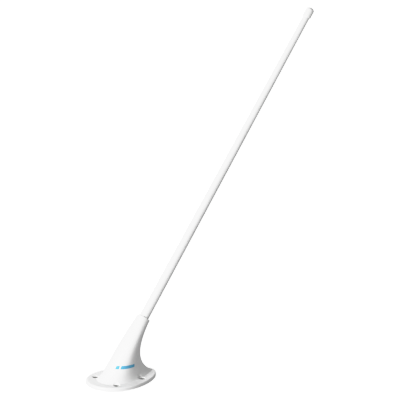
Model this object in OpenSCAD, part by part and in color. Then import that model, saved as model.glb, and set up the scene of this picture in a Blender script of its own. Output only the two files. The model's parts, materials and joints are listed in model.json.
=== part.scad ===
// Fixed omnidirectional whip antenna. A tapered fibreglass whip leans out of a flared, hollow
// fairing on a four-hole flange. The matching network is inside the fairing and a bayonet
// coaxial jack comes out underneath.
// Origin: centre of the four mounting holes, on the underside. +Z is up, +X is the way the whip
// leans, and the X-Z plane is the plane of symmetry of the housing.

/* [Mounting holes] */
// Distance between neighbouring mounting holes, along X and along Y
hole_pitch = 44.45; // [43:0.05:45]
// Diameter of each mounting hole
hole_d = 5.2; // [4.6:0.1:5.6]
// Diameter of the countersink at the flange's top face
countersink_d = 9.8; // [8.6:0.1:10.4]

/* [Flange] */
// Distance from the origin forward to the flange's nose
flange_nose = 46; // [44:0.5:50]
// Distance from the origin back to the flange's tail
flange_tail = 59; // [59:0.5:64]
// Greatest width of the flange
flange_w = 76; // [74:0.5:82]
// Thickness of the flange
flange_t = 5; // [4.8:0.1:5.6]
// Radius of the flange's top edge
flange_edge = 1.6; // [0.8:0.1:2]

/* [Fairing] */
// Distance from the origin forward to the nose of the skirt
skirt_nose = 32; // [31:0.5:32]
// Distance from the origin back to the tail of the skirt
skirt_tail = 57; // [56.6:0.1:57.2]
// Greatest width of the skirt
skirt_w = 48.6; // [46:0.2:49]
// Thickness of the moulded wall
wall = 2.6; // [2.4:0.1:2.8]
// Thickness of the wall at the foot, where it sits on the flange
foot_wall = 5.4; // [5.2:0.1:5.8]
// Outer diameter of the neck at its top
neck_d = 18; // [17.8:0.1:19]

/* [Whip] */
// Lean of the whip from the vertical, in degrees
lean = 38; // [37.2:0.1:38.8]
// Length of whip standing out of the neck, cap included
whip_len = 479; // [300:1:600]
// Diameter of the whip at the neck
whip_root_d = 12.6; // [12.2:0.1:12.8]
// Diameter of the whip under its cap
whip_tip_d = 8.6; // [7:0.1:9]
// Diameter of the tip cap
cap_d = 10.8; // [10:0.1:11.5]
// Length of the tip cap
cap_len = 14; // [12:0.5:18]

/* [Jack] */
// Depth to which the coaxial jack stands below the mounting face
jack_drop = 10.8; // [10.2:0.1:11.4]

/* [Hidden] */

white = [0.95, 0.95, 0.95];
nickel = [0.78, 0.77, 0.74];
brass = [0.80, 0.66, 0.35];
copper = [0.78, 0.45, 0.28];
steel = [0.62, 0.63, 0.65];
black_rubber = [0.08, 0.08, 0.08];
cyan_ink = [0.10, 0.62, 0.84];

$fn = 64;
eps = 0.01;
// Gap left between separate pieces that sit in one another
fit_gap = 0.05;

// Outline of the flange and of every skirt section: an egg, blunt towards -X
// How much slimmer its tail is than an ellipse's, at the flange and at the foot of the skirt
flange_slim = 0.32;
skirt_slim = 0.6;
outline_points = 60;

// Skirt profile. Each reach of a section is the neck's radius plus a broad share, a flare share
// and a foot share, each raised to its own power of (1 - t), where t runs from foot to neck.
foot_share = 1.8;
flare_share = 4.5;
tail_power = 5.6;
nose_power = 1.93;
side_power = 1;
flare_power = 9;
foot_power = 40;
fairing_rings = 26;
cavity_rings = 14;
// Share of the way up the fairing at which its cavity ends
cavity_top = 0.55;
neck_edge = 0.8;
edge_steps = 4;

// Top of the neck, on the whip's axis
neck_top = [44.3, 0, 80.7];
whip_dir = [sin(lean), 0, cos(lean)];
// The spine of the fairing rises straight from the flange, then bends into the whip's axis
spine_x = 22.3;
spine_foot = [spine_x, 0, flange_t];
spine_bend = [spine_x, 0, neck_top.z - (neck_top.x - spine_x) * cos(lean) / sin(lean)];
spine_end = neck_top - neck_edge * whip_dir;

// Room for a screw head beside the skirt
relief_r = countersink_d / 2 + 0.5;

// Whip, measured along its axis from the top of the neck
socket_depth = 30;
socket_r = whip_root_d / 2 + 0.65;
mouth_r = socket_r + 0.65;
mouth_depth = 2.6;
// Solid end of the tip cap, past the end of the rod
cap_end = 4;
cap_overlap = cap_len - cap_end;
radiator_r = 1.6;
ferrule_t = 4;
terminal_room = 12;
spigot_r = 3;
spigot_len = 6;
terminal_t = 0.8;

// Jack
thread_r = 4.75;
jack_pocket_r = 8.5;
jack_pocket_depth = 2.6;
jack_shoulder_r = 7.5;
jack_shoulder_t = 1.4;
jack_seal_t = 1;
barrel_r = 4.8;
barrel_bore_r = 4.05;
// Turned-down stretch of the barrel that the bayonet lugs stand on
barrel_waist_r = 4.55;
jack_top = 12;
contact_r = 1.08;
contact_pin_r = 0.65;
contact_hole_r = 0.7;
contact_hole_depth = 6;
insulator_r = 3.2;
insulator_nose_r = 2.4;
lug_r = 1;
lug_reach = 5.5;
lug_z = -jack_drop + 4.3;
washer_t = 0.8;
lug_t = 0.6;
nut_t = 2.8;
nut_flats = 12.7;

// Matching board and what stands on it
board_z = 18;
board_t = 1.6;
board_top = board_z + board_t;
board_nose = 12.4;
board_tail = 21;
board_w = 21;
standoff_r = 2;
standoff_places = [[-9.6, 0], [16, 7], [16, -7]];
coil_r = 4;
coil_wire_r = 0.5;
coil_turns = 5;
coil_pitch = 2.2;
coil_start = [2.5, 3.4, board_top + coil_r + 0.7];
former_r = coil_r - coil_wire_r - 0.1;

// Gasket grooves
gasket_inset = 2.2;
gasket_w = 1.6;
gasket_depth = 1.4;
seal_inset = 4.1;
seal_w = 1;
seal_depth = 0.8;

// Screws that hold the fairing to the flange, from below
fairing_screw_places = [[-9, 9.5], [-9, -9.5], [28, 7.4], [28, -7.4]];
fairing_screw_r = 1.5;
fairing_screw_len = 11;
fairing_screw_head_r = 2.9;
boss_r = 3.4;
boss_h = 9;
insert_r = 2.3;
insert_len = 6;

// ---- Outlines ------------------------------------------------------------------------------

// Half-width of an egg of unit size at the angle a, and the greatest such half-width
function egg_side(a, slim) = sin(a) * (1 - slim * pow(cos(a / 2), 2));
function egg_peak(slim) = max([for (a = [60:1:150]) egg_side(a, slim)]);

// An egg around the origin that reaches nose forward, tail back and side to each side
function egg(nose, tail, side, slim) =
  let (peak = egg_peak(slim))
  [for (i = [0:outline_points - 1])
    let (a = 360 * i / outline_points)
    [(tail - nose) / 2 + (tail + nose) / 2 * cos(a), side * egg_side(a, slim) / peak]];

module flange_outline(inset = 0) {
  polygon(egg(flange_nose - inset, flange_tail - inset, flange_w / 2 - inset, flange_slim));
}

module skirt_outline(inset = 0) {
  polygon(egg(skirt_nose - inset, skirt_tail - inset, skirt_w / 2 - inset, skirt_slim));
}

module hole_places() {
  for (x = [-1, 1], y = [-1, 1])
    translate([x * hole_pitch / 2, y * hole_pitch / 2, 0])
      children();
}

// ---- Lofts and sweeps ----------------------------------------------------------------------

// Closed solid through a list of rings that all have the same number of points
module loft(rings) {
  n = len(rings[0]);
  last = len(rings) - 1;
  points = [for (ring = rings) each ring];
  sides = [for (i = [0:last - 1], j = [0:n - 1])
    let (k = (j + 1) % n)
    each [
      [i * n + j, (i + 1) * n + j, (i + 1) * n + k],
      [i * n + j, (i + 1) * n + k, i * n + k]
    ]];
  first_cap = [for (j = [0:n - 1]) j];
  last_cap = [for (j = [n - 1:-1:0]) last * n + j];
  polyhedron(points, concat([first_cap], sides, [last_cap]));
}

function unit(v) = v / norm(v);

// Ring of a round wire at the point p, square to the direction d, with the reference axis up
function wire_ring(p, d, up, r, n) =
  let (u = unit(cross(d, up)), v = cross(d, u))
  [for (j = [0:n - 1]) p + r * (u * cos(360 * j / n) + v * sin(360 * j / n))];

// Round wire along a list of points. No stretch of it may run along up.
module wire(points, r, up, n = 8) {
  last = len(points) - 1;
  loft([for (i = [0:last])
    wire_ring(points[i], unit(points[min(i + 1, last)] - points[max(i - 1, 0)]), up, r, n)]);
}

// Smooth curve from a to d that leaves towards b and arrives from c
function bend(a, b, c, d, steps) =
  [for (i = [0:steps])
    let (t = i / steps, s = 1 - t)
    s * s * s * a + 3 * s * s * t * b + 3 * s * t * t * c + t * t * t * d];

// ---- Fairing skin --------------------------------------------------------------------------

function spine(t) =
  (1 - t) * (1 - t) * spine_foot + 2 * t * (1 - t) * spine_bend + t * t * spine_end;
function spine_dir(t) =
  unit((1 - t) * (spine_bend - spine_foot) + t * (spine_end - spine_bend));

// Reach of a section from the spine, for a skirt that reaches full at the foot
function reach(full, flare, power, t) =
  let (s = 1 - t, broad = full - neck_d / 2 - flare - foot_share)
  neck_d / 2 + broad * pow(s, power) + flare * pow(s, flare_power)
    + foot_share * pow(s, foot_power);

// Section of the fairing at t, drawn in by inset
function skin(t, inset = 0) =
  let (
    d = spine_dir(t),
    aft = [d.z, 0, -d.x],
    tail = reach(skirt_tail - spine_x, 0, tail_power, t) - inset,
    nose = reach(skirt_nose + spine_x, flare_share, nose_power, t) - inset,
    side = reach(skirt_w / 2, flare_share, side_power, t) - inset
  )
  [for (p = egg(nose, tail, side, skirt_slim * sqrt(1 - t)))
    spine(t) + p.x * aft + [0, p.y, 0]];

// Rounded end of the neck, square to the whip's axis
function neck_end(a) =
  let (
    r = neck_d / 2 - neck_edge * (1 - cos(a)),
    aft = [cos(lean), 0, -sin(lean)]
  )
  [for (i = [0:outline_points - 1])
    let (b = 360 * i / outline_points)
    spine_end + neck_edge * sin(a) * whip_dir + r * cos(b) * aft + [0, r * sin(b), 0]];

function outer_rings() = concat(
  [for (i = [0:fairing_rings]) skin(pow(i / fairing_rings, 1.8))],
  [for (i = [1:edge_steps]) neck_end(90 * i / edge_steps)]);

// The cavity's wall is thicker at the foot, because the cavity doesn't follow the flare
function cavity_inset(t) = wall + (foot_wall - wall) * pow(1 - t, flare_power);

function cavity_rings_down() =
  [for (i = [cavity_rings:-1:0])
    let (t = cavity_top * pow(i / cavity_rings, 1.4))
    skin(t, cavity_inset(t))];

module on_whip_axis() {
  translate(neck_top)
    rotate([0, lean, 0])
      children();
}

// Point given in the whip's own frame, with its axis along z and its zero at the neck's top
function whip_point(p) =
  neck_top + p.x * [cos(lean), 0, -sin(lean)] + [0, p.y, 0] + p.z * whip_dir;

// ---- Housing -------------------------------------------------------------------------------

module fairing() {
  color(white)
    difference() {
      union() {
        loft(concat(cavity_rings_down(), outer_rings()));
        for (p = fairing_screw_places)
          translate([p.x, p.y, flange_t])
            cylinder(r = boss_r, h = boss_h);
      }
      on_whip_axis()
        translate([0, 0, -socket_depth - terminal_room])
          cylinder(r = socket_r, h = socket_depth + terminal_room + 10);
      on_whip_axis()
        translate([0, 0, -mouth_depth])
          cylinder(r = mouth_r, h = mouth_depth + 10);
      for (p = fairing_screw_places)
        translate([p.x, p.y, flange_t - 1])
          cylinder(r = insert_r + fit_gap, h = insert_len + 2);
      hole_places()
        translate([0, 0, flange_t - 1])
          cylinder(r = relief_r, h = 20);
    }
}

// Egg-shaped plate with a rounded top edge
function flange_ring(inset, z) =
  [for (p = egg(flange_nose - inset, flange_tail - inset, flange_w / 2 - inset, flange_slim))
    [p.x, p.y, z]];

module flange_blank() {
  edge_rings = [for (i = [0:edge_steps])
    let (a = 90 * i / edge_steps)
    flange_ring(flange_edge * (1 - cos(a)), flange_t - flange_edge * (1 - sin(a)))];
  loft(concat([flange_ring(0, 0)], edge_rings));
}

module egg_groove_in_underside() {
  translate([0, 0, -1])
    linear_extrude(gasket_depth + 1)
      difference() {
        flange_outline(gasket_inset);
        flange_outline(gasket_inset + gasket_w);
      }
}

module egg_groove_in_top() {
  translate([0, 0, flange_t - seal_depth])
    linear_extrude(seal_depth + 1)
      difference() {
        skirt_outline(seal_inset);
        skirt_outline(seal_inset + seal_w);
      }
}

module base_flange() {
  countersink_depth = (countersink_d - hole_d) / 2;
  head_depth = fairing_screw_head_r - fairing_screw_r;
  color(white)
    difference() {
      flange_blank();
      hole_places()
        translate([0, 0, -1])
          cylinder(d = hole_d, h = flange_t + 2);
      hole_places()
        translate([0, 0, flange_t - countersink_depth])
          cylinder(d1 = hole_d, d2 = countersink_d + 2, h = countersink_depth + 1);
      translate([0, 0, -1])
        cylinder(r = thread_r + 0.1, h = flange_t + 2);
      translate([0, 0, -1])
        cylinder(r = jack_pocket_r, h = jack_pocket_depth + 1);
      for (p = fairing_screw_places)
        translate([p.x, p.y, 0]) {
          translate([0, 0, -1])
            cylinder(r = fairing_screw_r + 0.15, h = flange_t + 2);
          translate([0, 0, -1])
            cylinder(r1 = fairing_screw_head_r + 1.15, r2 = fairing_screw_r + 0.15, h = head_depth + 1);
        }
      egg_groove_in_underside();
      egg_groove_in_top();
    }
}

module underside_gasket() {
  color(black_rubber)
    translate([0, 0, eps])
      linear_extrude(gasket_depth - 2 * eps)
        difference() {
          flange_outline(gasket_inset + fit_gap);
          flange_outline(gasket_inset + gasket_w - fit_gap);
        }
}

module fairing_seal() {
  color(black_rubber)
    translate([0, 0, flange_t - seal_depth + eps])
      linear_extrude(seal_depth - 2 * eps)
        difference() {
          skirt_outline(seal_inset + fit_gap);
          skirt_outline(seal_inset + seal_w - fit_gap);
        }
}

module threaded_inserts() {
  color(brass)
    for (p = fairing_screw_places)
      translate([p.x, p.y, flange_t + eps])
        difference() {
          cylinder(r = insert_r, h = insert_len);
          translate([0, 0, -1])
            cylinder(r = fairing_screw_r + fit_gap, h = insert_len + 2);
        }
}

// Countersunk screw along +z with its head's face at zero and a cross recess
module countersunk_screw(r, head_r, length) {
  head_h = head_r - r;
  difference() {
    union() {
      cylinder(r1 = head_r, r2 = r, h = head_h);
      cylinder(r = r, h = length);
    }
    for (a = [0, 90])
      rotate([0, 0, a])
        translate([-head_r * 0.6, -0.35, -1])
          cube([head_r * 1.2, 0.7, 1.9]);
  }
}

module fairing_screws() {
  color(steel)
    for (p = fairing_screw_places)
      translate([p.x, p.y, fit_gap])
        countersunk_screw(fairing_screw_r, fairing_screw_head_r, fairing_screw_len);
}

// Printed mark on the side of the fairing: two plain dashes of ink, short then long. They run
// round the side between outline angles and rise a little towards the tail.
mark_spans = [[201, 214], [219, 272]];
mark_level = [0.177, 0.195];
mark_height = 0.042;
mark_inset = [-0.03, -0.13];
mark_steps = 14;

// Point of the skin at t and at the outline angle a
function skin_point(t, a, inset) =
  let (
    d = spine_dir(t),
    slim = skirt_slim * sqrt(1 - t),
    tail = reach(skirt_tail - spine_x, 0, tail_power, t) - inset,
    nose = reach(skirt_nose + spine_x, flare_share, nose_power, t) - inset,
    side = reach(skirt_w / 2, flare_share, side_power, t) - inset,
    x = (tail - nose) / 2 + (tail + nose) / 2 * cos(a),
    y = side * egg_side(a, slim) / egg_peak(slim)
  )
  spine(t) + x * [d.z, 0, -d.x] + [0, y, 0];

module side_mark() {
  color(cyan_ink)
    for (span = mark_spans)
      loft([for (i = [0:mark_steps])
        let (
          a = span[0] + (span[1] - span[0]) * i / mark_steps,
          along = (a - mark_spans[0][0]) / (mark_spans[1][1] - mark_spans[0][0]),
          low = mark_level[0] + (mark_level[1] - mark_level[0]) * along - mark_height / 2
        )
        [
          skin_point(low, a, mark_inset[0]),
          skin_point(low + mark_height, a, mark_inset[0]),
          skin_point(low + mark_height, a, mark_inset[1]),
          skin_point(low, a, mark_inset[1])
        ]]);
}

// ---- Whip ----------------------------------------------------------------------------------

module ring(outer_r, inner_r, h) {
  difference() {
    cylinder(r = outer_r, h = h);
    translate([0, 0, -1])
      cylinder(r = inner_r, h = h + 2);
  }
}

module neck_seal() {
  color([0.85, 0.85, 0.84])
    on_whip_axis()
      translate([0, 0, -mouth_depth + eps])
        ring(mouth_r - fit_gap, whip_root_d / 2 + fit_gap, mouth_depth - 0.8);
}

module bonding_sleeve() {
  color([0.72, 0.66, 0.50])
    on_whip_axis()
      translate([0, 0, -socket_depth + 1])
        ring(socket_r - fit_gap, whip_root_d / 2 + fit_gap, socket_depth - mouth_depth - 1.2);
}

module whip_rod() {
  bore_r = radiator_r + fit_gap;
  end_z = whip_len - cap_end;
  color(white)
    on_whip_axis()
      rotate_extrude()
        polygon([
          [bore_r, -socket_depth + spigot_len + 0.2],
          [spigot_r + fit_gap, -socket_depth + spigot_len + 0.2],
          [spigot_r + fit_gap, -socket_depth],
          [whip_root_d / 2, -socket_depth],
          [whip_root_d / 2, 0],
          [whip_tip_d / 2, whip_len - cap_len],
          [whip_tip_d / 2, end_z],
          [bore_r, end_z]
        ]);
}

module radiator() {
  color(brass)
    on_whip_axis()
      translate([0, 0, -socket_depth + 0.5])
        cylinder(r = radiator_r, h = whip_len + socket_depth - 12);
}

module tip_cap() {
  r = cap_d / 2;
  inner_r = whip_tip_d / 2 + fit_gap;
  lip = 1.2;
  dome_h = 0.75 * r;
  dome_points = 12;
  color(white)
    on_whip_axis()
      translate([0, 0, whip_len - cap_len])
        rotate_extrude()
          polygon(concat(
            [[inner_r, 0.1], [r - 0.5, 0.1], [r, lip]],
            [for (i = [0:dome_points])
              let (a = 90 * i / dome_points)
              [r * cos(a), cap_len - dome_h + dome_h * sin(a)]],
            [[0, cap_overlap + 0.1], [inner_r, cap_overlap + 0.1]]));
}

module rod_ferrule() {
  color(brass)
    on_whip_axis()
      difference() {
        union() {
          translate([0, 0, -socket_depth - ferrule_t])
            cylinder(r = whip_root_d / 2, h = ferrule_t - eps);
          translate([0, 0, -socket_depth - 1])
            cylinder(r = spigot_r, h = spigot_len + 1);
        }
        translate([0, 0, -socket_depth + 0.4])
          cylinder(r = radiator_r + fit_gap, h = spigot_len + 1);
        translate([0, 0, -socket_depth - ferrule_t - 1])
          cylinder(r = 1.3, h = ferrule_t + 0.5);
      }
}

// Ring terminal under the ferrule, with a crimp barrel that points down along the whip's axis
crimp_y = 4.6;
crimp_len = 5.5;
module ring_terminal() {
  top = -socket_depth - ferrule_t - eps;
  color(nickel)
    on_whip_axis()
      translate([0, 0, top - terminal_t])
        difference() {
          union() {
            cylinder(r = 3.2, h = terminal_t);
            translate([-1.2, 0, 0])
              cube([2.4, crimp_y, terminal_t]);
            translate([0, crimp_y, terminal_t - crimp_len])
              cylinder(r = 1.3, h = crimp_len);
          }
          translate([0, 0, -1])
            cylinder(r = 1.6, h = terminal_t + 2);
          translate([0, crimp_y, -crimp_len])
            cylinder(r = coil_wire_r + 0.1, h = crimp_len + terminal_t - 1);
        }
}

module terminal_screw() {
  head_h = 2;
  z = -socket_depth - ferrule_t - terminal_t - 2 * eps;
  color(steel)
    on_whip_axis()
      difference() {
        union() {
          translate([0, 0, z - head_h])
            cylinder(r = 2.7, h = head_h);
          translate([0, 0, z - 1])
            cylinder(r = 1.2, h = 4.5);
        }
        translate([-3, -0.4, z - head_h - 1])
          cube([6, 0.8, 1.8]);
      }
}

// ---- Coaxial jack --------------------------------------------------------------------------

module jack_shell() {
  mouth = -jack_drop;
  shoulder_z = jack_pocket_depth - jack_seal_t - jack_shoulder_t;
  thread_pitch = 1;
  thread_depth = 0.3;
  thread_start = jack_pocket_depth + 0.6;
  threads = floor(jack_top - thread_start - 0.5);
  color(nickel)
    union() {
      rotate_extrude()
        polygon(concat(
          [
            [barrel_bore_r, mouth],
            [barrel_r - 0.4, mouth],
            [barrel_r, mouth + 0.4],
            [barrel_r, mouth + 3.2],
            [barrel_waist_r, mouth + 3.4],
            [barrel_waist_r, shoulder_z - 1.2],
            [barrel_r + 0.8, shoulder_z - 1.2],
            [barrel_r + 0.8, shoulder_z],
            [jack_shoulder_r, shoulder_z],
            [jack_shoulder_r, shoulder_z + jack_shoulder_t],
            [thread_r, shoulder_z + jack_shoulder_t]
          ],
          [for (i = [0:threads - 1])
            let (z = thread_start + i * thread_pitch)
            each [[thread_r, z], [thread_r - thread_depth, z + 0.5]]],
          [
            [thread_r, thread_start + threads * thread_pitch],
            [thread_r, jack_top],
            [insulator_r + fit_gap, jack_top],
            [insulator_r + fit_gap, -1],
            [barrel_bore_r, -1]
          ]));
      for (a = [0, 180])
        rotate([0, 0, a])
          translate([0, barrel_r - 0.4, lug_z])
            rotate([-90, 0, 0])
              cylinder(r = lug_r, h = lug_reach - barrel_r + 0.4);
    }
}

module jack_insulator() {
  color([0.96, 0.96, 0.94])
    difference() {
      union() {
        translate([0, 0, -1 + fit_gap])
          cylinder(r = insulator_r, h = jack_top + 1);
        translate([0, 0, -jack_drop + 0.8])
          cylinder(r = insulator_nose_r, h = jack_drop);
      }
      translate([0, 0, -jack_drop])
        cylinder(r = contact_r + fit_gap, h = jack_drop + 3);
      translate([0, 0, 2])
        cylinder(r = contact_pin_r + fit_gap, h = jack_top);
    }
}

module jack_contact() {
  slot_w = 0.24;
  color(brass)
    difference() {
      union() {
        translate([0, 0, -jack_drop + 1])
          cylinder(r = contact_r, h = jack_drop + 1.9);
        cylinder(r = contact_pin_r, h = board_top + 0.8);
      }
      translate([0, 0, -jack_drop])
        cylinder(r = contact_hole_r, h = contact_hole_depth);
      translate([-contact_r - 1, -slot_w / 2, -jack_drop])
        cube([2 * contact_r + 2, slot_w, contact_hole_depth - 1]);
    }
}

module jack_seal() {
  color(black_rubber)
    translate([0, 0, jack_pocket_depth - jack_seal_t + eps])
      ring(jack_shoulder_r - 0.2, thread_r + fit_gap, jack_seal_t - 2 * eps);
}

module lock_washer() {
  color(steel)
    translate([0, 0, flange_t + eps])
      difference() {
        ring(7.4, thread_r + 0.1, washer_t - 2 * eps);
        for (i = [0:11])
          rotate([0, 0, 15 + 30 * i])
            translate([6.4, -0.5, -1])
              cube([2, 1, washer_t + 2]);
      }
}

lug_tail_x = 12;
module ground_lug() {
  color(nickel)
    translate([0, 0, flange_t + washer_t])
      difference() {
        union() {
          cylinder(r = 6.9, h = lug_t);
          translate([0, -1.6, 0])
            cube([lug_tail_x - 1.6, 3.2, lug_t]);
          translate([lug_tail_x - 1.6, 0, 0])
            cylinder(r = 1.6, h = lug_t);
        }
        translate([0, 0, -1])
          cylinder(r = thread_r + 0.1, h = lug_t + 2);
        translate([lug_tail_x - 1.6, 0, -1])
          cylinder(r = 0.75, h = lug_t + 2);
      }
}

module jack_nut() {
  color(nickel)
    translate([0, 0, flange_t + washer_t + lug_t + eps])
      difference() {
        intersection() {
          cylinder(d = nut_flats / cos(30), h = nut_t, $fn = 6);
          cylinder(r1 = nut_flats / 2 + 0.5, r2 = nut_flats / 2 + 2.5, h = nut_t);
          cylinder(r1 = nut_flats / 2 + 2.5, r2 = nut_flats / 2 + 0.5, h = nut_t);
        }
        translate([0, 0, -1])
          cylinder(r = thread_r + fit_gap, h = nut_t + 2);
      }
}

module ground_lead() {
  foot = [lug_tail_x - 1.6, 0, flange_t + washer_t - 0.2];
  head = [lug_tail_x - 3, -3, board_top + 0.6];
  color(copper)
    wire(
      bend(foot, foot + [0.4, 0, 6], head - [0, 0, 5], head, 14),
      0.45, [0, 1, 0]);
}

// ---- Matching network ----------------------------------------------------------------------

capacitor_places = [[-4.5, 5.2], [-4.5, -5.2]];
capacitor_size = [5.5, 2.6, 4.6];
choke_place = [5.5, -6.3];
choke_r = 2.3;
choke_len = 10;
choke_foot_r = 0.4;

module board_hole(x, y, r) {
  translate([x, y, board_z - 1])
    cylinder(r = r, h = board_t + 2);
}

module matching_board() {
  color([0.13, 0.36, 0.22])
    difference() {
      translate([0, 0, board_z])
        linear_extrude(board_t)
          polygon(egg(board_nose, board_tail, board_w / 2, 0.12));
      board_hole(0, 0, contact_pin_r + 0.1);
      board_hole(lug_tail_x - 3, -3, 0.7);
      board_hole(coil_start.x, coil_start.y + coil_r, coil_wire_r + 0.1);
      for (p = standoff_places)
        board_hole(p.x, p.y, 1.1);
      for (x = [-1, 1])
        board_hole(choke_place.x + x * (choke_len / 2 + 1), choke_place.y, choke_foot_r + 0.1);
    }
}

module board_standoffs() {
  color(brass)
    for (p = standoff_places)
      translate([p.x, p.y, flange_t])
        difference() {
          cylinder(r = standoff_r, h = board_z - flange_t - eps);
          translate([0, 0, board_z - flange_t - 6])
            cylinder(r = 1.05, h = 8);
        }
}

module board_screws() {
  head_h = 1.4;
  color(steel)
    for (p = standoff_places)
      translate([p.x, p.y, board_top + eps])
        difference() {
          union() {
            cylinder(r = 1.9, h = head_h);
            translate([0, 0, -5])
              cylinder(r = 1, h = 5.5);
          }
          translate([-2, -0.3, head_h - 0.6])
            cube([4, 0.6, 1]);
        }
}

// The winding starts in the board, and its far end rises to the ring terminal
module matching_coil() {
  steps_per_turn = 20;
  leg_foot = [coil_start.x, coil_start.y + coil_r, board_z - 0.6];
  leg = [for (i = [0:2]) leg_foot + [0, 0, (coil_start.z - leg_foot.z - 0.5) * i / 3]];
  winding = [for (i = [0:steps_per_turn * coil_turns])
    let (a = 360 * i / steps_per_turn)
    coil_start + [coil_pitch * i / steps_per_turn, coil_r * cos(a), coil_r * sin(a)]];
  lead_start = coil_start + [coil_pitch * coil_turns, coil_r, 0];
  lead_end = whip_point([0, crimp_y, -socket_depth - ferrule_t - crimp_len + 1.5]);
  lead = bend(
    lead_start + [0.2, 0, 1.2], lead_start + [0.6, 0, 8],
    lead_end - 9 * whip_dir, lead_end, 14);
  color(copper)
    wire(concat(leg, winding, lead), coil_wire_r, [1, 0, 0]);
}

module coil_former() {
  length = coil_pitch * coil_turns + 3;
  color([0.90, 0.88, 0.82])
    translate([coil_start.x - 1.5, coil_start.y, coil_start.z])
      rotate([0, 90, 0])
        ring(former_r, former_r - 1.2, length);
}

module shunt_choke() {
  body_z = board_top + choke_r + 0.2;
  lead_x = choke_len / 2 + 1;
  color([0.20, 0.42, 0.30])
    translate([choke_place.x, choke_place.y, 0]) {
      translate([-choke_len / 2, 0, body_z])
        rotate([0, 90, 0])
          cylinder(r = choke_r, h = choke_len);
      translate([-lead_x, 0, body_z])
        rotate([0, 90, 0])
          cylinder(r = choke_foot_r, h = 2 * lead_x);
      for (x = [-1, 1])
        translate([x * lead_x, 0, board_z - 0.6])
          cylinder(r = choke_foot_r, h = body_z - board_z + 0.6 + choke_foot_r);
    }
}

module matching_capacitors() {
  color([0.72, 0.52, 0.30])
    for (p = capacitor_places)
      translate([p.x - capacitor_size.x / 2, p.y - capacitor_size.y / 2, board_top + eps])
        cube(capacitor_size);
}

fairing();
base_flange();
underside_gasket();
fairing_seal();
threaded_inserts();
fairing_screws();
side_mark();
neck_seal();
bonding_sleeve();
whip_rod();
radiator();
tip_cap();
rod_ferrule();
ring_terminal();
terminal_screw();
jack_shell();
jack_insulator();
jack_contact();
jack_seal();
lock_washer();
ground_lug();
jack_nut();
ground_lead();
matching_board();
board_standoffs();
board_screws();
matching_coil();
coil_former();
shunt_choke();
matching_capacitors();
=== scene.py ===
import json
import math

import bmesh
import bpy
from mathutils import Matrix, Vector


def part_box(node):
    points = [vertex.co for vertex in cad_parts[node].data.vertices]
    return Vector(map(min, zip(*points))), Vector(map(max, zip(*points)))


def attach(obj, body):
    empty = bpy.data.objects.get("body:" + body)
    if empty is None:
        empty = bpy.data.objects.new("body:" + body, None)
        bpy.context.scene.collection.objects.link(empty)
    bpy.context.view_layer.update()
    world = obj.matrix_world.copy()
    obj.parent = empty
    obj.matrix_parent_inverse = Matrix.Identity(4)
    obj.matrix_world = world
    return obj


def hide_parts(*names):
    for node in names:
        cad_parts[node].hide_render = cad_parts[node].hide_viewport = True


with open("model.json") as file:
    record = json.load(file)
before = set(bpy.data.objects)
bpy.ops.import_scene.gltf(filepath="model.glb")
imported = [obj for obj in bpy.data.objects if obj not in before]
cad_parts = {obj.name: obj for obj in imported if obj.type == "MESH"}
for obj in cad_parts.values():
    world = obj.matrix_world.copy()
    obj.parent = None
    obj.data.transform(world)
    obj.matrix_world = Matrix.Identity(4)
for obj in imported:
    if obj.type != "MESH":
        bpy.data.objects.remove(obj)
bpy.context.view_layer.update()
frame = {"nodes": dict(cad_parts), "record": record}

# ---- Sizes, in metres, in the frame's own axes ------------------------------------------------

MM = 0.001
TURN = 2 * math.pi

# Flange and skirt, from the frame
flange_low, flange_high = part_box("base_flange")
skirt_low, skirt_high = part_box("fairing")
FLANGE_NOSE = -flange_low.x
FLANGE_TAIL = flange_high.x
FLANGE_SIDE = flange_high.y
FLANGE_T = flange_high.z
SKIRT_NOSE = -skirt_low.x
SKIRT_TAIL = skirt_high.x
SKIRT_SIDE = skirt_high.y

# The four mounting holes, from the frame's mount
mounts = {m["name"]: m for m in frame["record"]["mounts"]}
hole_pattern = mounts["mounting_holes"]["dims"]
HOLE_R = hole_pattern["hole_r_mm"] * MM
HOLE_X = hole_pattern["spacing_x_mm"] * MM / 2
HOLE_Y = hole_pattern["spacing_y_mm"] * MM / 2
HOLE_PLACES = [(x * HOLE_X, y * HOLE_Y) for x in (-1, 1) for y in (-1, 1)]
COUNTERSINK_R = 4.9 * MM
# Up to here, from the axis, the countersinks get dark bare metal, which also paints in the shade
# of the holes
BARE_R = HOLE_R + 0.6 * (COUNTERSINK_R - HOLE_R)
RELIEF_R = COUNTERSINK_R + 0.5 * MM

# Outline: an egg, blunt towards -X. How much slimmer its tail is than an ellipse's
FLANGE_SLIM = 0.32
SKIRT_SLIM = 0.6
FLANGE_EDGE = 1.6 * MM
OUTLINE_POINTS = 144
ROUND_POINTS = 64

# Skirt profile: each reach of a section is the neck's radius plus a broad share, a flare share
# and a foot share, each raised to its own power of what is left of the way up
NECK_R = 9 * MM
NECK_EDGE = 0.8 * MM
FOOT_SHARE = 1.8 * MM
FLARE_SHARE = 4.5 * MM
TAIL_POWER = 5.6
NOSE_POWER = 1.93
SIDE_POWER = 1
FLARE_POWER = 9
FOOT_POWER = 40
FAIRING_RINGS = 72
CAVITY_RINGS = 30
CAVITY_TOP = 0.55
WALL = 2.6 * MM
FOOT_WALL = 5.4 * MM

# Whip, measured along its own axis from the top of the neck
LEAN = math.radians(38)
NECK_TOP = Vector((44.3 * MM, 0, 80.7 * MM))
WHIP_DIR = Vector((math.sin(LEAN), 0, math.cos(LEAN)))
WHIP_AFT = Vector((math.cos(LEAN), 0, -math.sin(LEAN)))
WHIP_LEN = 479 * MM
WHIP_ROOT_R = 6.3 * MM
WHIP_TIP_R = 4.3 * MM
CAP_R = 5.4 * MM
CAP_LEN = 14 * MM
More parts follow.
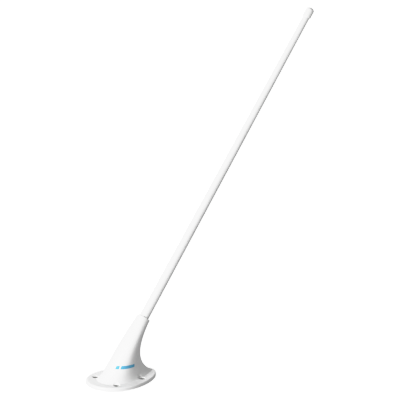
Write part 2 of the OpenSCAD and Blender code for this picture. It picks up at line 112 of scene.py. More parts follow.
# Solid end of the cap, past the end of the rod
CAP_END = 4 * MM
CAP_OVERLAP = CAP_LEN - CAP_END
SOCKET_DEPTH = 30 * MM
SOCKET_R = WHIP_ROOT_R + 0.65 * MM
MOUTH_R = SOCKET_R + 0.65 * MM
MOUTH_DEPTH = 2.6 * MM
RADIATOR_R = 1.6 * MM
SPIGOT_R = 3 * MM
SPIGOT_LEN = 6 * MM
# Sliding fit between a piece and its bore
GAP = 0.05 * MM

# The spine of the fairing rises straight from the flange, then bends into the whip's axis
SPINE_X = 22.3 * MM
SPINE_FOOT = Vector((SPINE_X, 0, FLANGE_T))
SPINE_BEND = Vector((SPINE_X, 0, NECK_TOP.z - (NECK_TOP.x - SPINE_X) / math.tan(LEAN)))
SPINE_END = NECK_TOP - NECK_EDGE * WHIP_DIR

# Screws that hold the fairing to the flange, from below
FAIRING_SCREW_PLACES = [
    (x * MM, y * side * MM) for x, y in ((-9, 9.5), (28, 7.4)) for side in (1, -1)
]
FAIRING_SCREW_R = 1.65 * MM
FAIRING_SCREW_HEAD_R = 3.05 * MM
BOSS_R = 3.4 * MM
BOSS_H = 9 * MM
INSERT_R = 2.35 * MM
INSERT_H = 7 * MM

# Jack hole and gasket grooves in the flange
JACK_HOLE_R = 4.85 * MM
JACK_POCKET_R = 8.5 * MM
JACK_POCKET_DEPTH = 2.6 * MM
GASKET_INSET = 2.2 * MM
GASKET_W = 1.6 * MM
GASKET_DEPTH = 1.4 * MM
SEAL_INSET = 4.1 * MM
SEAL_W = 1 * MM
SEAL_DEPTH = 0.8 * MM

# Printed mark: two plain dashes between outline angles, rising a little towards the tail
MARK_SPANS = [(201, 214), (219, 272)]
MARK_LEVEL = (0.177, 0.195)
MARK_HEIGHT = 0.042
MARK_BACK = 0.03 * MM
MARK_FRONT = 0.1 * MM

# How far a cutter reaches past what it cuts
BEYOND = 1 * MM
# Kept between faces that would otherwise coincide
HAIR = 0.02 * MM
# Edges sharper than this, in degrees, stay sharp in the shading
SHARP_ANGLE = 35
SKIN_SHARP_ANGLE = 40
MARK_SHARP_ANGLE = 50


# ---- Shapes -----------------------------------------------------------------------------------

def egg_side(a, slim):
    """Half-width at the angle a of an egg of unit size."""
    return math.sin(a) * (1 - slim * math.cos(a / 2) ** 2)


def egg_point(nose, tail, side, slim, a):
    """Point at the angle a of an egg that reaches nose back, tail forward and side each way."""
    peak = max(egg_side(math.radians(d), slim) for d in range(60, 151))
    return Vector((
        (tail - nose) / 2 + (tail + nose) / 2 * math.cos(a),
        side * egg_side(a, slim) / peak,
        0,
    ))


def turn_angles(count):
    return [TURN * i / count for i in range(count)]


def egg_ring(nose, tail, side, slim, inset, z):
    """Level ring of the egg, drawn in by inset."""
    return [
        egg_point(nose - inset, tail - inset, side - inset, slim, a) + Vector((0, 0, z))
        for a in turn_angles(OUTLINE_POINTS)
    ]


def flange_ring(inset, z):
    return egg_ring(FLANGE_NOSE, FLANGE_TAIL, FLANGE_SIDE, FLANGE_SLIM, inset, z)


def skirt_ring(inset, z):
    return egg_ring(SKIRT_NOSE, SKIRT_TAIL, SKIRT_SIDE, SKIRT_SLIM, inset, z)


def spine(t):
    return (1 - t) ** 2 * SPINE_FOOT + 2 * t * (1 - t) * SPINE_BEND + t * t * SPINE_END


def spine_dir(t):
    return ((1 - t) * (SPINE_BEND - SPINE_FOOT) + t * (SPINE_END - SPINE_BEND)).normalized()


def reach(full, flare, power, t):
    """Reach of a section from the spine, for a skirt that reaches full at the foot."""
    s = 1 - t
    broad = full - NECK_R - flare - FOOT_SHARE
    return NECK_R + broad * s ** power + flare * s ** FLARE_POWER + FOOT_SHARE * s ** FOOT_POWER


def skin_point(t, a, inset=0.0):
    """Point of the fairing's skin at t, from foot to neck, and at the outline angle a."""
    d = spine_dir(t)
    aft = Vector((d.z, 0, -d.x))
    tail = reach(SKIRT_TAIL - SPINE_X, 0, TAIL_POWER, t) - inset
    nose = reach(SKIRT_NOSE + SPINE_X, FLARE_SHARE, NOSE_POWER, t) - inset
    side = reach(SKIRT_SIDE, FLARE_SHARE, SIDE_POWER, t) - inset
    p = egg_point(nose, tail, side, SKIRT_SLIM * math.sqrt(max(0, 1 - t)), a)
    return spine(t) + p.x * aft + Vector((0, p.y, 0))


def skin_ring(t, inset=0.0):
    return [skin_point(t, a, inset) for a in turn_angles(OUTLINE_POINTS)]


def whip_ring(r, z, count=OUTLINE_POINTS):
    """Ring round the whip's axis, z above the top of the neck."""
    return [
        NECK_TOP + z * WHIP_DIR + r * math.cos(a) * WHIP_AFT + Vector((0, r * math.sin(a), 0))
        for a in turn_angles(count)
    ]


def level_ring(x, y, r, z, count=ROUND_POINTS):
    return [Vector((x + r * math.cos(a), y + r * math.sin(a), z)) for a in turn_angles(count)]


def lathe_rings(x, y, profile):
    """Level rings round an upright axis, for a list of (radius, height)."""
    return [level_ring(x, y, r, z) for r, z in profile]


def arc(steps):
    """Sine and cosine of the angles from 0 to 90 degrees."""
    angles = [math.pi / 2 * i / steps for i in range(steps + 1)]
    return [(math.sin(a), math.cos(a)) for a in angles]


def clear_of_holes(p):
    """The point moved out of the room left round each screw head, with a soft edge."""
    soft = 0.5 * MM
    for x, y in HOLE_PLACES:
        away = Vector((p.x - x, p.y - y, 0))
        d = away.length
        if d < RELIEF_R + soft:
            lift = max(soft - abs(d - RELIEF_R), 0) / soft
            new_d = max(d, RELIEF_R) + lift * lift * soft / 4
            p = Vector((x, y, p.z)) + away.normalized() * new_d
    return p


# ---- Meshes -----------------------------------------------------------------------------------

def finish_mesh(name, work, sharp_angle=SHARP_ANGLE):
    """Object from a bmesh, merged, with its normals outwards and smooth below sharp_angle."""
    bmesh.ops.remove_doubles(work, verts=work.verts, dist=1e-7)
    bmesh.ops.recalc_face_normals(work, faces=work.faces)
    mesh = bpy.data.meshes.new(name)
    work.to_mesh(mesh)
    work.free()
    mesh.shade_smooth()
    mesh.set_sharp_from_angle(angle=math.radians(sharp_angle))
    piece = bpy.data.objects.new(name, mesh)
    bpy.context.scene.collection.objects.link(piece)
    return piece


def add_loft(work, rings, closed=False):
    """Faces through a list of rings. An open loft is capped; a closed one joins last to first."""
    rows = [[work.verts.new(p) for p in ring] for ring in rings]
    pairs = list(zip(rows, rows[1:]))
    if closed:
        pairs.append((rows[-1], rows[0]))
    for low, high in pairs:
        for j in range(len(low)):
            k = (j + 1) % len(low)
            work.faces.new((low[j], low[k], high[k], high[j]))
    if not closed:
        work.faces.new(list(reversed(rows[0])))
        work.faces.new(rows[-1])


def loft(name, rings, closed=False, sharp_angle=SHARP_ANGLE):
    work = bmesh.new()
    add_loft(work, rings, closed)
    return finish_mesh(name, work, sharp_angle)


def drop_split_points(mesh):
    """Takes out points that only split an edge, where triangles would fold onto each other."""
    work = bmesh.new()
    work.from_mesh(mesh)
    bmesh.ops.dissolve_verts(work, verts=[v for v in work.verts if len(v.link_edges) == 2])
    work.to_mesh(mesh)
    work.free()


def combine(piece, tool, operation, sharp_angle):
    """Applies an exact boolean of tool to piece, and removes the tool."""
    change = piece.modifiers.new("combine", "BOOLEAN")
    change.operation = operation
    change.solver = "EXACT"
    change.object = tool
    bpy.context.view_layer.update()
    seen = piece.evaluated_get(bpy.context.evaluated_depsgraph_get())
    mesh = bpy.data.meshes.new_from_object(seen)
    drop_split_points(mesh)
    mesh.set_sharp_from_angle(angle=math.radians(sharp_angle))
    piece.modifiers.clear()
    old = piece.data
    piece.data = mesh
    bpy.data.meshes.remove(old)
    bpy.data.objects.remove(tool)


def true_flats(piece):
    """Keeps flat faces flat in the shading, next to small rounded edges."""
    change = piece.modifiers.new("true flats", "WEIGHTED_NORMAL")
    change.keep_sharp = True
    change.weight = 80


def outer_skin():
    """Rings of the fairing's outside, from its foot to the rounded end of the neck."""
    crowding = 1.8
    rings = []
    for i in range(FAIRING_RINGS + 1):
        t = (i / FAIRING_RINGS) ** crowding
        rings.append([clear_of_holes(p) for p in skin_ring(t)])
    for s, c in arc(6)[1:]:
        rings.append(whip_ring(NECK_R - NECK_EDGE * (1 - c), -NECK_EDGE * (1 - s)))
    return rings


def whip_socket():
    """Rings of the mouth and the socket that the whip stands in, from the top down."""
    lip = 0.25 * MM
    funnel_z = -31.5 * MM
    lip_rings = [whip_ring(MOUTH_R + lip * (1 - s), -lip * (1 - c)) for s, c in arc(4)]
    return lip_rings + [
        whip_ring(MOUTH_R, -MOUTH_DEPTH),
        whip_ring(SOCKET_R, -MOUTH_DEPTH),
        whip_ring(SOCKET_R, funnel_z),
    ]


def cavity():
    """Rings of the fairing's hollow, from its top down to the foot."""
    crowding = 1.4
    rings = []
    for i in range(CAVITY_RINGS, -1, -1):
        t = CAVITY_TOP * (i / CAVITY_RINGS) ** crowding
        rings.append(skin_ring(t, WALL + (FOOT_WALL - WALL) * (1 - t) ** FLARE_POWER))
    return rings


def make_fairing():
    """The hollow shell, with four bosses in it for the threaded inserts."""
    shell = loft("fairing_shell", outer_skin() + whip_socket() + cavity(), True, SKIN_SHARP_ANGLE)
    work = bmesh.new()
    for x, y in FAIRING_SCREW_PLACES:
        add_loft(work, lathe_rings(x, y, [
            (INSERT_R, FLANGE_T + HAIR),
            (BOSS_R, FLANGE_T + HAIR),
            (BOSS_R, FLANGE_T + BOSS_H),
            (INSERT_R / 2, FLANGE_T + BOSS_H),
            (INSERT_R / 2, FLANGE_T + INSERT_H),
            (INSERT_R, FLANGE_T + INSERT_H),
        ]), closed=True)
    combine(shell, finish_mesh("boss_tool", work), "UNION", SKIN_SHARP_ANGLE)
    return shell


def flange_blank():
    """Rings of the flange plate, with a broken bottom edge and a rounded top edge."""
    low_edge = 0.25 * MM
    rings = [flange_ring(low_edge, 0), flange_ring(0, low_edge)]
    for s, c in arc(9):
        rings.append(flange_ring(FLANGE_EDGE * (1 - c), FLANGE_T - FLANGE_EDGE * (1 - s)))
    return rings


def mounting_hole_profile():
    """Countersunk hole whose rim flows into the flange's top face."""
    chamfer = 0.2 * MM
    rim = 0.35 * MM
    seat_z = FLANGE_T - (COUNTERSINK_R - HOLE_R)
    profile = [
        (HOLE_R + chamfer, -BEYOND),
        (HOLE_R + chamfer, 0),
        (HOLE_R, chamfer),
        (HOLE_R, seat_z),
        (BARE_R, seat_z + BARE_R - HOLE_R),
    ]
    turn = math.radians(45)
    steps = 5
    for i in range(steps + 1):
        a = turn * i / steps
        profile.append((
            COUNTERSINK_R + rim * (math.sin(turn) - math.sin(turn - a)) - rim * math.sin(turn) / 2,
            FLANGE_T - rim * (1 - math.cos(turn - a)),
        ))
    profile.append((profile[-1][0], FLANGE_T + BEYOND))
    return profile


def make_flange():
    """The plate, with its holes, the jack's pocket and the two gasket grooves."""
    plate = loft("flange_plate", flange_blank())
    work = bmesh.new()
    for x, y in HOLE_PLACES:
        add_loft(work, lathe_rings(x, y, mounting_hole_profile()))
    add_loft(work, lathe_rings(0, 0, [
        (JACK_POCKET_R, -BEYOND),
        (JACK_POCKET_R, JACK_POCKET_DEPTH),
        (JACK_HOLE_R, JACK_POCKET_DEPTH),
        (JACK_HOLE_R, FLANGE_T + BEYOND),
    ]))
    head_depth = FAIRING_SCREW_HEAD_R - FAIRING_SCREW_R
    for x, y in FAIRING_SCREW_PLACES:
        add_loft(work, lathe_rings(x, y, [
            (FAIRING_SCREW_HEAD_R + BEYOND, -BEYOND),
            (FAIRING_SCREW_R, head_depth),
            (FAIRING_SCREW_R, FLANGE_T + BEYOND),
        ]))
    add_loft(work, [
        flange_ring(GASKET_INSET, -BEYOND),
        flange_ring(GASKET_INSET, GASKET_DEPTH),
        flange_ring(GASKET_INSET + GASKET_W, GASKET_DEPTH),
        flange_ring(GASKET_INSET + GASKET_W, -BEYOND),
    ], closed=True)
    add_loft(work, [
        skirt_ring(SEAL_INSET, FLANGE_T + BEYOND),
        skirt_ring(SEAL_INSET, FLANGE_T - SEAL_DEPTH),
        skirt_ring(SEAL_INSET + SEAL_W, FLANGE_T - SEAL_DEPTH),
        skirt_ring(SEAL_INSET + SEAL_W, FLANGE_T + BEYOND),
    ], closed=True)
    combine(plate, finish_mesh("hole_tool", work), "DIFFERENCE", SHARP_ANGLE)
    true_flats(plate)
    return plate


def darken_mounting_holes(plate, finish):
    """Gives the bores and the lower seats of the four mounting holes dark bare metal, which also
    paints in their shade.
    """
    level_normal = 0.9
    plate.data.materials.append(finish)
    for face in plate.data.polygons:
        near = min(math.hypot(face.center.x - x, face.center.y - y) for x, y in HOLE_PLACES)
        if near < BARE_R and abs(face.normal.z) < level_normal:
            face.material_index = len(plate.data.materials) - 1


def make_whip():
    """The painted rod: parallel in its socket, then tapering to its tip."""
    spigot_gap = 0.2 * MM
    bore_r = RADIATOR_R + GAP
    foot_z = -SOCKET_DEPTH
    step_z = foot_z + SPIGOT_LEN + spigot_gap
    taper_len = WHIP_LEN - CAP_LEN
    end_z = WHIP_LEN - CAP_END
    steps = 48
    profile = [
        (bore_r, step_z),
        (SPIGOT_R + GAP, step_z),
        (SPIGOT_R + GAP, foot_z),
        (WHIP_ROOT_R, foot_z),
    ]
    for i in range(steps + 1):
        share = i / steps
        profile.append((WHIP_ROOT_R + (WHIP_TIP_R - WHIP_ROOT_R) * share, taper_len * share))
    profile += [(WHIP_TIP_R, end_z), (bore_r, end_z)]
    return loft("whip", [whip_ring(r, z, ROUND_POINTS) for r, z in profile], closed=True)


def make_cap():
    """Moulded tip cap: a lip over the rod, nearly straight sides and a soft dome."""
    clear_of_taper = 0.1 * MM
    foot_z = WHIP_LEN - CAP_LEN + clear_of_taper
    inner_r = WHIP_TIP_R + GAP
    lip = 0.45 * MM
    dome_h = 0.75 * CAP_R
    profile = [(0, foot_z + CAP_OVERLAP), (inner_r, foot_z + CAP_OVERLAP), (inner_r, foot_z)]
    profile += [(CAP_R - lip * (1 - s), foot_z + lip * (1 - c)) for s, c in arc(5)]
    profile += [(CAP_R * c, WHIP_LEN - dome_h * (1 - s)) for s, c in arc(20)]
    return loft("whip_cap", [whip_ring(r, z, ROUND_POINTS) for r, z in profile])


def make_sealant():
    """Bead of sealant in the mouth of the neck, hollowed between the rod and the wall."""
    count = 96
    outer_r = MOUTH_R - GAP
    inner_r = WHIP_ROOT_R + GAP
    foot_z = -MOUTH_DEPTH + HAIR
    top_z = -0.8 * MM
    hollow = 0.22 * MM
    steps = 8
    profile = [(inner_r, foot_z), (outer_r, foot_z)]
    for i in range(steps + 1):
        share = i / steps
        profile.append((
            outer_r + (inner_r - outer_r) * share,
            top_z - hollow * math.sin(math.pi * share),
        ))
    return loft("neck_sealant", [whip_ring(r, z, count) for r, z in profile], closed=True)


def make_marks():
    """Two dashes of ink with rounded ends, laid on the fairing's skin."""
    steps = 60
    across = 10
    # Degrees over which an end rounds off, and what is left of the height at the very end
    end_turn = 2.2
    end_share = 0.55
    first, last = MARK_SPANS[0][0], MARK_SPANS[1][1]
    work = bmesh.new()
    for start, end in MARK_SPANS:
        mid = (start + end) / 2
        half = (end - start) / 2
        rings = []
        for i in range(steps + 1):
            a = mid - half * math.cos(math.pi * i / steps)
            along = (a - first) / (last - first)
            middle = MARK_LEVEL[0] + (MARK_LEVEL[1] - MARK_LEVEL[0]) * along
            to_end = min(a - start, end - a)
            inwards = min(to_end / end_turn, 1)
            full = math.sqrt(max(0, 1 - (1 - inwards) ** 2)) * (1 - end_share) + end_share
            rise = MARK_HEIGHT / 2 * full
            levels = [middle - rise + 2 * rise * j / across for j in range(across + 1)]
            turn = math.radians(a)
            front = [skin_point(t, turn, -MARK_FRONT) for t in levels]
            back = [skin_point(t, turn, -MARK_BACK) for t in reversed(levels)]
            rings.append(front + back)
        add_loft(work, rings)
    return finish_mesh("side_dashes", work, MARK_SHARP_ANGLE)


# ---- Materials --------------------------------------------------------------------------------

class Surface:
    """A node material under construction, on the object's own coordinates in metres."""

    def __init__(self, name):
        self.material = bpy.data.materials.new(name)
        self.material.use_nodes = True
        self.nodes = self.material.node_tree.nodes
        self.links = self.material.node_tree.links
        self.shader = self.nodes["Principled BSDF"]
        self.place = self.nodes.new("ShaderNodeTexCoord").outputs["Object"]

    def feed(self, socket, value):
        """Links an input to another node's output, or sets it to a number or a colour."""
        if isinstance(value, bpy.types.NodeSocket):
            self.links.new(value, socket)
        elif isinstance(value, tuple):
            socket.default_value = (*value, 1)
        else:
            socket.default_value = value

    def put(self, socket_name, value):
        self.feed(self.shader.inputs[socket_name], value)

    def stretched(self, turn, stretch):
        """The object's coordinates turned, then scaled along each axis."""
        node = self.nodes.new("ShaderNodeMapping")
        node.vector_type = "TEXTURE"
        node.inputs["Rotation"].default_value = turn
        node.inputs["Scale"].default_value = stretch
        self.links.new(self.place, node.inputs["Vector"])
        return node.outputs["Vector"]

    def noise(self, size, detail=3.0, roughness=0.5, place=None):
        """Noise from 0 to 1 whose features are size across, in metres."""
        node = self.nodes.new("ShaderNodeTexNoise")
        node.inputs["Scale"].default_value = 1 / size
        node.inputs["Detail"].default_value = detail
        node.inputs["Roughness"].default_value = roughness
        self.links.new(place or self.place, node.inputs["Vector"])
        return node.outputs["Fac"]

    def times(self, a, b):
        node = self.nodes.new("ShaderNodeMath")
        node.operation = "MULTIPLY"
        self.feed(node.inputs[0], a)
        self.feed(node.inputs[1], b)
        return node.outputs[0]

    def spread(self, value, low, high, to_low=0.0, to_high=1.0):
        """The value stretched from low..high to to_low..to_high, held within them."""
        node = self.nodes.new("ShaderNodeMapRange")
        node.interpolation_type = "SMOOTHSTEP"
        ends = {"From Min": low, "From Max": high, "To Min": to_low, "To Max": to_high}
        for name, number in ends.items():
            node.inputs[name].default_value = number
        self.links.new(value, node.inputs["Value"])
        return node.outputs["Result"]

    def mix(self, share, a, b):
        """Colour between a and b."""
        node = self.nodes.new("ShaderNodeMix")
        node.data_type = "RGBA"
        # The node's inputs and outputs for colours, among those for other kinds of data
        factor, colour_a, colour_b, result = 0, 6, 7, 2
        self.feed(node.inputs[factor], share)
        self.feed(node.inputs[colour_a], a)
        self.feed(node.inputs[colour_b], b)
        return node.outputs[result]

    def edges(self, radius):
        """From 0 on flat surfaces to 1 on edges sharper than the radius."""
        soft = self.nodes.new("ShaderNodeBevel")
        soft.samples = 6
        soft.inputs["Radius"].default_value = radius
        true = self.nodes.new("ShaderNodeNewGeometry").outputs["Normal"]
        dot = self.nodes.new("ShaderNodeVectorMath")
        dot.operation = "DOT_PRODUCT"
        self.links.new(soft.outputs["Normal"], dot.inputs[0])
        self.links.new(true, dot.inputs[1])
        return self.spread(dot.outputs["Value"], 0.985, 0.86)

    def corners(self, reach_of):
        """From 0 in the open to 1 deep in a corner."""
        node = self.nodes.new("ShaderNodeAmbientOcclusion")
        node.samples = 8
        node.inputs["Distance"].default_value = reach_of
        return self.spread(node.outputs["AO"], 0.75, 0.25)

    def bump(self, height, depth, strength=1.0, below=None):
        node = self.nodes.new("ShaderNodeBump")
        node.inputs["Strength"].default_value = strength
        node.inputs["Distance"].default_value = depth
        self.links.new(height, node.inputs["Height"])
        if below is not None:
            self.links.new(below, node.inputs["Normal"])
        return node.outputs["Normal"]


def white_plastic(name, white, shade, peel, rough):
    """Moulded or painted white: faint clouding, orange peel, rubbed edges, and painted shade that
    darkens the corners.
    """
    s = Surface(name)
    cloud = s.spread(s.noise(18 * MM, 4), 0.35, 0.7)
    colour = s.mix(cloud, white, shade)
    fleck = s.spread(s.noise(0.9 * MM, 2), 0.66, 0.74, 0, 0.25)
    colour = s.mix(fleck, colour, tuple(0.93 * c for c in shade))
    colour = s.mix(s.times(s.edges(0.5 * MM), 0.35), colour, (0.97, 0.97, 0.96))
    # Painted shade: corners darkened by ambient occlusion, in mottled patches
    corner_shade = s.times(s.corners(4 * MM), s.spread(s.noise(5 * MM, 3), 0.3, 0.7, 0.25, 0.6))
    colour = s.mix(corner_shade, colour, (0.62, 0.61, 0.58))
    s.put("Base Color", colour)
    s.put("Roughness", s.spread(s.noise(7 * MM, 4), 0.3, 0.7, rough - 0.05, rough + 0.08))
    s.put("Coat Weight", 0.15)
    s.put("Coat Roughness", 0.2)
    wave = s.bump(s.noise(4 * MM, 2), peel * 2.5, 0.5)
    s.put("Normal", s.bump(s.noise(1.1 * MM, 3), peel, 0.6, wave))
    return s.material


def wound_paint(name):
    """Gloss white paint over wound glass fibre, whose turns show faintly along the rod."""
    s = Surface(name)
    cloud = s.spread(s.noise(30 * MM, 4), 0.35, 0.7)
    colour = s.mix(cloud, (0.9, 0.9, 0.9), (0.86, 0.86, 0.855))
    run = s.stretched((0, LEAN, 0), (0.6 * MM, 0.6 * MM, 40 * MM))
    streak = s.noise(1, 3, 0.6, run)
    colour = s.mix(s.spread(streak, 0.5, 0.75, 0, 0.3), colour, (0.82, 0.82, 0.81))
    # Painted shade: the rod darkened by ambient occlusion where it goes into the neck and the cap
    joint_shade = s.times(s.corners(3 * MM), 0.5)
    s.put("Base Color", s.mix(joint_shade, colour, (0.6, 0.59, 0.57)))
    s.put("Roughness", s.spread(streak, 0.3, 0.7, 0.24, 0.36))
    s.put("Coat Weight", 0.3)
    s.put("Coat Roughness", 0.12)
    turns = s.nodes.new("ShaderNodeTexWave")
    turns.wave_type = "BANDS"
    turns.bands_direction = "Z"
    turns.inputs["Scale"].default_value = 1 / (7 * MM) / TURN * 2
    turns.inputs["Distortion"].default_value = 1.2
    turns.inputs["Detail"].default_value = 2
    s.links.new(s.stretched((0, LEAN + 0.25, 0), (1, 1, 1)), turns.inputs["Vector"])
    lay = s.bump(turns.outputs["Fac"], 0.012 * MM, 0.5)
    s.put("Normal", s.bump(streak, 0.02 * MM, 0.5, lay))
    return s.material


def ink(name):
    """Screen-printed ink, a little thin and speckled at its edges."""
    s = Surface(name)
    thin = s.spread(s.noise(1.4 * MM, 4), 0.35, 0.75)
    colour = s.mix(thin, (0.085, 0.40, 0.64), (0.14, 0.50, 0.72))
    speck = s.spread(s.noise(0.35 * MM, 2), 0.68, 0.72, 0, 0.6)
    s.put("Base Color", s.mix(speck, colour, (0.35, 0.70, 0.85)))
    s.put("Roughness", s.spread(thin, 0, 1, 0.32, 0.46))
    s.put("Normal", s.bump(s.noise(0.5 * MM, 3), 0.015 * MM, 0.6))
    return s.material


def metal(name, colour, dark, rough, brush):
    """Machined or plated metal: brushed grain along brush, tarnish, and bright rubbed edges."""
    s = Surface(name)
    tarnish = s.spread(s.noise(2.5 * MM, 5, 0.6), 0.45, 0.75)
    tone = s.mix(tarnish, colour, dark)
    bright = tuple(min(1, 1.12 * c) for c in colour)
    s.put("Base Color", s.mix(s.edges(0.15 * MM), tone, bright))
    s.put("Metallic", 1.0)
    grain = s.noise(1, 3, 0.6, s.stretched((0, 0, 0), brush))
    s.put("Roughness", s.spread(grain, 0.25, 0.75, rough - 0.06, rough + 0.14))
    s.put("Normal", s.bump(grain, 0.01 * MM, 0.5))
    return s.material


def dull(name, colour, dark, rough, grain, depth):
    """Rubber, resin or plastic: mottled tone, grain, and paler edges."""
    s = Surface(name)
    tone = s.mix(s.spread(s.noise(6 * grain, 4), 0.35, 0.7), colour, dark)
    pale = tuple(min(1, 0.04 + 1.15 * c) for c in colour)
    s.put("Base Color", s.mix(s.times(s.edges(0.2 * MM), 0.6), tone, pale))
    fine = s.noise(grain, 3, 0.6)
    s.put("Roughness", s.spread(fine, 0.3, 0.7, rough - 0.06, rough + 0.06))
    s.put("Normal", s.bump(fine, depth, 0.7))
    return s.material


def board(name):
    """Solder mask over glass weave, with tinned copper tracks that follow a blocky pattern."""
    s = Surface(name)
    cells = s.nodes.new("ShaderNodeTexVoronoi")
    cells.distance = "CHEBYCHEV"
    cells.feature = "F1"
    cells.inputs["Scale"].default_value = 1 / (4.2 * MM)
    cells.inputs["Randomness"].default_value = 0.7
    s.links.new(s.place, cells.inputs["Vector"])
    track = s.spread(cells.outputs["Distance"], 0.40, 0.44)
    mask = s.mix(s.spread(s.noise(3 * MM, 3), 0.3, 0.7), (0.03, 0.16, 0.07), (0.045, 0.21, 0.09))
    s.put("Base Color", s.mix(s.times(track, 0.55), mask, (0.10, 0.34, 0.14)))
    s.put("Roughness", 0.32)
    weave = s.nodes.new("ShaderNodeTexChecker")
    weave.inputs["Scale"].default_value = 1 / (0.5 * MM)
    s.links.new(s.place, weave.inputs["Vector"])
    cloth = s.bump(weave.outputs["Fac"], 0.01 * MM, 0.3)
    s.put("Normal", s.bump(track, 0.035 * MM, 0.8, cloth))
    return s.material


# Length of a metal's brushed grain along each axis
LEVEL_BRUSH = (8 * MM, 0.25 * MM, 0.25 * MM)
UPRIGHT_BRUSH = (0.3 * MM, 0.3 * MM, 9 * MM)
TURNED_BRUSH = (9 * MM, 9 * MM, 0.16 * MM)

# Each finish: what makes it, its name, and its looks
LOOKS = [
    (white_plastic, "fairing_plastic", (0.90, 0.90, 0.90), (0.87, 0.87, 0.865), 0.03 * MM, 0.34),
    (white_plastic, "flange_paint", (0.90, 0.90, 0.90), (0.865, 0.865, 0.86), 0.04 * MM, 0.40),
    (white_plastic, "cap_plastic", (0.87, 0.87, 0.865), (0.84, 0.84, 0.83), 0.02 * MM, 0.36),
    (wound_paint, "whip_paint"),
    (ink, "mark_ink"),
    (dull, "sealant", (0.80, 0.80, 0.78), (0.70, 0.70, 0.68), 0.42, 0.8 * MM, 0.05 * MM),
    (dull, "resin", (0.62, 0.52, 0.32), (0.48, 0.38, 0.20), 0.35, 1.0 * MM, 0.04 * MM),
    (dull, "rubber", (0.028, 0.028, 0.03), (0.018, 0.018, 0.018), 0.72, 0.35 * MM, 0.03 * MM),
    (dull, "ptfe", (0.86, 0.86, 0.84), (0.78, 0.78, 0.75), 0.45, 0.4 * MM, 0.015 * MM),
    (dull, "component", (0.50, 0.27, 0.09), (0.36, 0.18, 0.05), 0.38, 0.6 * MM, 0.04 * MM),
    (dull, "former_plastic", (0.74, 0.70, 0.58), (0.66, 0.61, 0.48), 0.5, 0.5 * MM, 0.02 * MM),
    (metal, "nickel", (0.66, 0.63, 0.58), (0.50, 0.47, 0.42), 0.24, TURNED_BRUSH),
    (metal, "brass", (0.74, 0.53, 0.22), (0.52, 0.35, 0.13), 0.30, UPRIGHT_BRUSH),
    (metal, "copper", (0.82, 0.42, 0.24), (0.58, 0.26, 0.13), 0.28, LEVEL_BRUSH),
    (metal, "steel", (0.55, 0.56, 0.58), (0.40, 0.40, 0.41), 0.30, TURNED_BRUSH),
    # Bare metal, dark enough to paint in the shade of the mounting holes
    (metal, "bare_metal_and_shade", (0.46, 0.46, 0.45), (0.30, 0.30, 0.29), 0.42, TURNED_BRUSH),
    (board, "circuit_board"),
]
finishes = {name: make(name, *look) for make, name, *look in LOOKS}

# What each CAD node that is shown as it is is made of
CAD_FINISHES = {
    "rubber": ["underside_gasket", "fairing_seal", "jack_seal"],
    "brass": ["threaded_inserts", "radiator", "rod_ferrule", "jack_contact", "board_standoffs"],
    "steel": ["fairing_screws", "terminal_screw", "lock_washer", "board_screws"],
    "nickel": ["ring_terminal", "jack_shell", "ground_lug", "jack_nut"],
    "copper": ["ground_lead", "matching_coil"],
    "resin": ["bonding_sleeve"],
    "ptfe": ["jack_insulator"],
    "circuit_board": ["matching_board"],
    "former_plastic": ["coil_former"],
    "component": ["shunt_choke", "matching_capacitors"],
}


def give(piece, finish):
    piece.data.materials.clear()
    piece.data.materials.append(finishes[finish])


# ---- The object -------------------------------------------------------------------------------

def add_piece(piece, finish, *stands_for):
    give(piece, finish)
    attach(piece, "root")
    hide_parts(*stands_for)


add_piece(make_fairing(), "fairing_plastic", "fairing")
flange = make_flange()
add_piece(flange, "flange_paint", "base_flange")
darken_mounting_holes(flange, finishes["bare_metal_and_shade"])
add_piece(make_whip(), "whip_paint", "whip_rod")
add_piece(make_cap(), "cap_plastic", "tip_cap")
add_piece(make_sealant(), "sealant", "neck_seal")
add_piece(make_marks(), "mark_ink", "side_mark")

for finish, node_names in CAD_FINISHES.items():
    for node_name in node_names:
        give(frame["nodes"][node_name], finish)


# ---- Stage ------------------------------------------------------------------------------------

def view_axes(azimuth, elevation):
    """Right, up and back of a view. Azimuth 0 looks along +Y."""
    a, e = math.radians(azimuth), math.radians(elevation)
    back = Vector((math.sin(a) * math.cos(e), -math.cos(a) * math.cos(e), math.sin(e)))
    right = Vector((math.cos(a), math.sin(a), 0))
    return right, back.cross(right), back


CAMERA_AZIMUTH = -39.9
CAMERA_ELEVATION = 18.6
VIEW_WIDTH = 0.540
VIEW_CENTRE = (0.1093, 0.2438, -0.030)
CAMERA_DISTANCE = 12.0
SENSOR = 36.0
# Radiance that shows as pure white
BACKDROP = 1.5
# Radiance of the surroundings, as they light the object
SURROUNDINGS = 0.36
# What a white surface sends back of the light that falls on it
WHITE_ALBEDO = 0.9
# Scene radiance and the tone that it shows as, below pure white
TONES = ((0.35, 0.35), (0.70, 0.72), (0.90, 0.86), (1.15, 0.93), (1.38, 0.955))


def make_camera():
    right, up, back = view_axes(CAMERA_AZIMUTH, CAMERA_ELEVATION)
    data = bpy.data.cameras.new("camera")
    data.sensor_width = SENSOR
    data.lens = SENSOR * CAMERA_DISTANCE / VIEW_WIDTH
    data.clip_start = 0.1
    data.clip_end = 60
    camera = bpy.data.objects.new("camera", data)
    across, upward, deep = VIEW_CENTRE
    camera.location = across * right + upward * up + (deep + CAMERA_DISTANCE) * back
    camera.rotation_mode = "QUATERNION"
    camera.rotation_quaternion = back.to_track_quat("Z", "Y")
    bpy.context.scene.collection.objects.link(camera)
    bpy.context.scene.camera = camera


def floor_finish(name, glow):
    s = Surface(name)
    s.put("Base Color", s.mix(s.noise(0.4, 2), (0.29, 0.29, 0.29), (0.31, 0.31, 0.31)))
    s.put("Roughness", 0.9)
    s.put("Emission Color", (1, 1, 1))
    s.put("Emission Strength", glow)
    return s.material


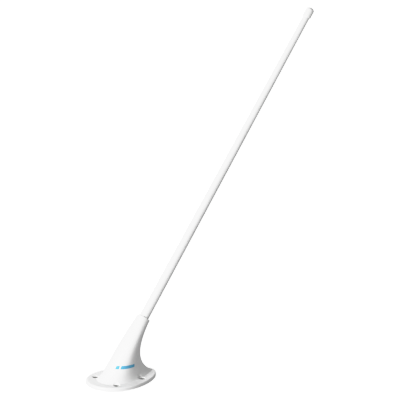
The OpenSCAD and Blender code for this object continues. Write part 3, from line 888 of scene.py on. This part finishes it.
def make_floor():
    """Pale floor at the mounting face, with a hole for the jack, dark under the flange."""
    hole_r = 8.2 * MM
    hole_depth = 14 * MM
    level = -0.3 * MM
    rings = [level_ring(0, 0, hole_r, z, OUTLINE_POINTS) for z in (level - hole_depth, level)]
    rings.append(flange_ring(GASKET_INSET, level))
    shaded_bands = len(rings) - 1
    rings += [level_ring(0, 0, r, level, OUTLINE_POINTS) for r in (0.2, 1.5, 14.0)]
    work = bmesh.new()
    rows = [[work.verts.new(p) for p in ring] for ring in rings]
    for band, (inner, outer) in enumerate(zip(rows, rows[1:])):
        for j in range(OUTLINE_POINTS):
            k = (j + 1) % OUTLINE_POINTS
            face = work.faces.new((inner[j], outer[j], outer[k], inner[k]))
            face.material_index = 0 if band < shaded_bands else 1
    mesh = bpy.data.meshes.new("floor")
    work.to_mesh(mesh)
    work.free()
    floor = bpy.data.objects.new("floor", mesh)
    bpy.context.scene.collection.objects.link(floor)
    from_lights = 0.1
    mesh.materials.append(floor_finish("shaded_floor", 0))
    mesh.materials.append(floor_finish("floor", BACKDROP - from_lights))
    floor.visible_diffuse = False
    floor.visible_glossy = False


def add_light(name, azimuth, elevation, brightness, size, distance=3.0):
    """Square soft light. Brightness is what it adds to a white surface that faces it."""
    back = view_axes(azimuth, elevation)[2]
    data = bpy.data.lights.new(name, "AREA")
    data.shape = "SQUARE"
    data.size = size
    data.energy = brightness * (math.pi * distance) ** 2 / WHITE_ALBEDO
    light = bpy.data.objects.new(name, data)
    target = Vector((0.08, 0, 0.15))
    light.location = target + back * distance
    light.rotation_mode = "QUATERNION"
    light.rotation_quaternion = back.to_track_quat("Z", "Y")
    bpy.context.scene.collection.objects.link(light)


def make_world():
    """White behind the object, and a softer grey for what falls on it."""
    world = bpy.data.worlds.new("world")
    world.use_nodes = True
    nodes = world.node_tree.nodes
    links = world.node_tree.links
    seen = nodes.new("ShaderNodeBackground")
    seen.inputs["Strength"].default_value = BACKDROP
    seen.inputs["Color"].default_value = (1, 1, 1, 1)
    cast = nodes["Background"]
    cast.inputs["Strength"].default_value = SURROUNDINGS
    cast.inputs["Color"].default_value = (1, 1, 1, 1)
    path = nodes.new("ShaderNodeLightPath")
    blend = nodes.new("ShaderNodeMixShader")
    links.new(path.outputs["Is Camera Ray"], blend.inputs["Fac"])
    links.new(cast.outputs["Background"], blend.inputs[1])
    links.new(seen.outputs["Background"], blend.inputs[2])
    links.new(blend.outputs["Shader"], nodes["World Output"].inputs["Surface"])
    bpy.context.scene.world = world


make_camera()
make_floor()
make_world()
add_light("key", CAMERA_AZIMUTH - 42, elevation=15, brightness=1.26, size=1.6)
add_light("back", CAMERA_AZIMUTH + 190, elevation=12, brightness=0.2, size=2.2)


def set_tone():
    """Straight tones up to light grey, then a soft shoulder that keeps the shading of whites."""
    view = bpy.context.scene.view_settings
    view.view_transform = "Standard"
    view.use_curve_mapping = True
    mapping = view.curve_mapping
    mapping.clip_max_x = BACKDROP
    combined = mapping.curves[3]
    combined.points[-1].location = (BACKDROP, 1)
    for radiance, tone in TONES:
        combined.points.new(radiance, tone)
    mapping.update()


set_tone()
